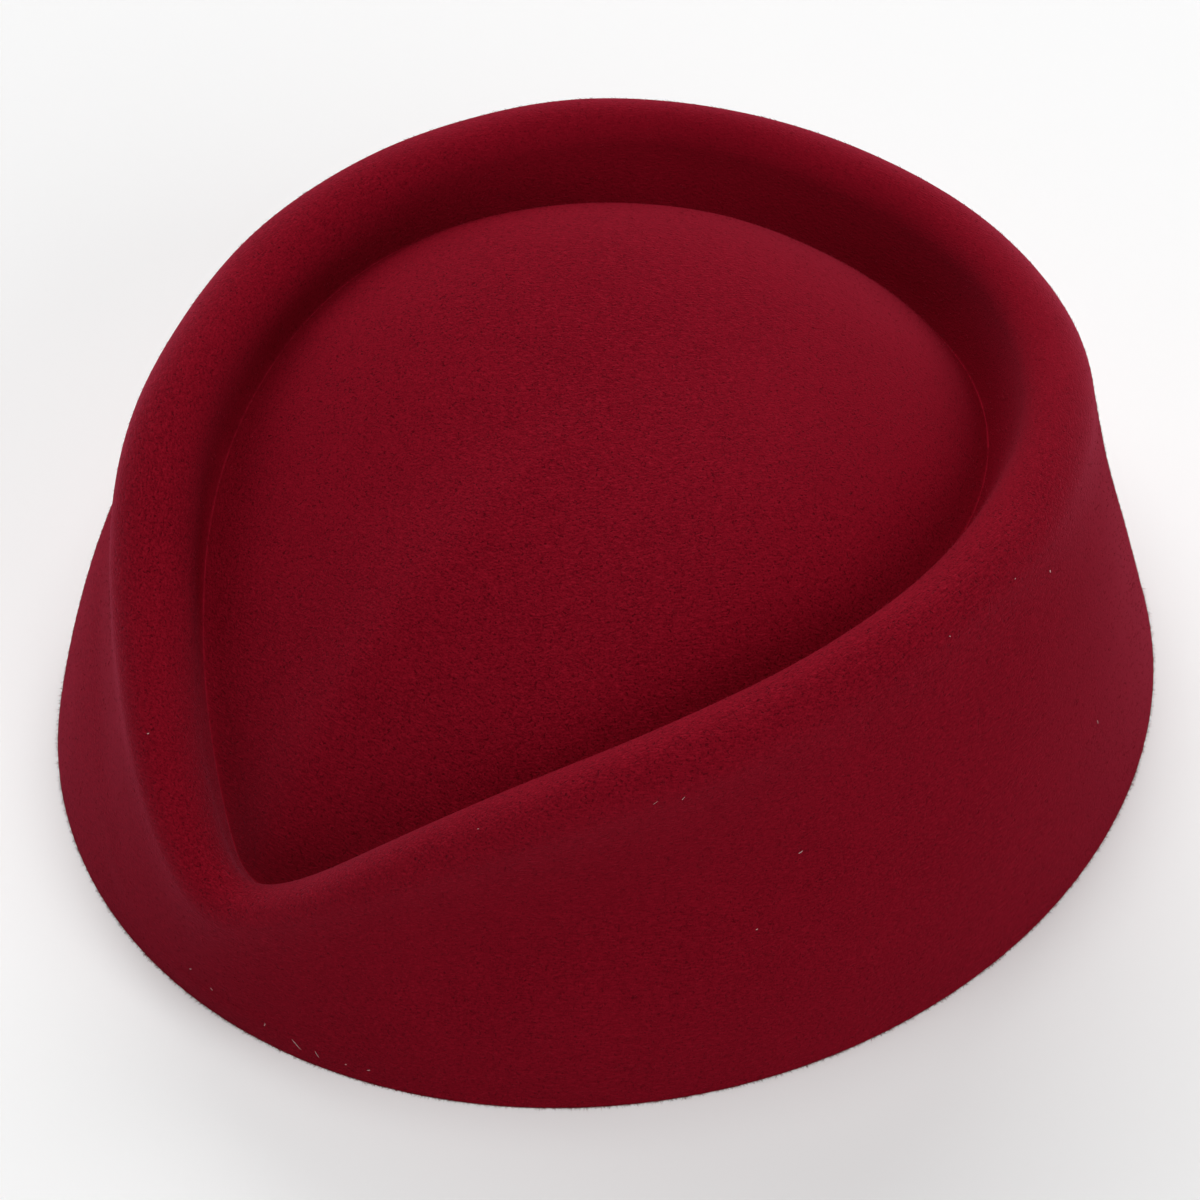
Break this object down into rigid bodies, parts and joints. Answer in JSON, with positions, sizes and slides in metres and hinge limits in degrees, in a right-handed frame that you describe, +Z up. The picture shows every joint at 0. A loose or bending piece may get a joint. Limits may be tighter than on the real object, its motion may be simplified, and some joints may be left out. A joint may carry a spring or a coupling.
{
  "type": "pillbox hat",
  "caption": "Teardrop-topped pillbox hat pressed from one piece of felt: oval base, leaning wall, soft rolled rim falling to a low front point, groove and domed top.",
  "frame": {"origin": "middle of the oval base, on the surface that the cut edge rests on", "axes": "+Z up, -Y towards the front point of the teardrop rim, +X towards the wearer's left"},
  "size_m": [0.1768, 0.194, 0.0659],
  "materials": {
    "felt": "matte pressed felt with a short nap, deep wine red"
  },
  "bodies": {
    "root": {"felt_shell": "felt"}
  },
  "joints": []
}
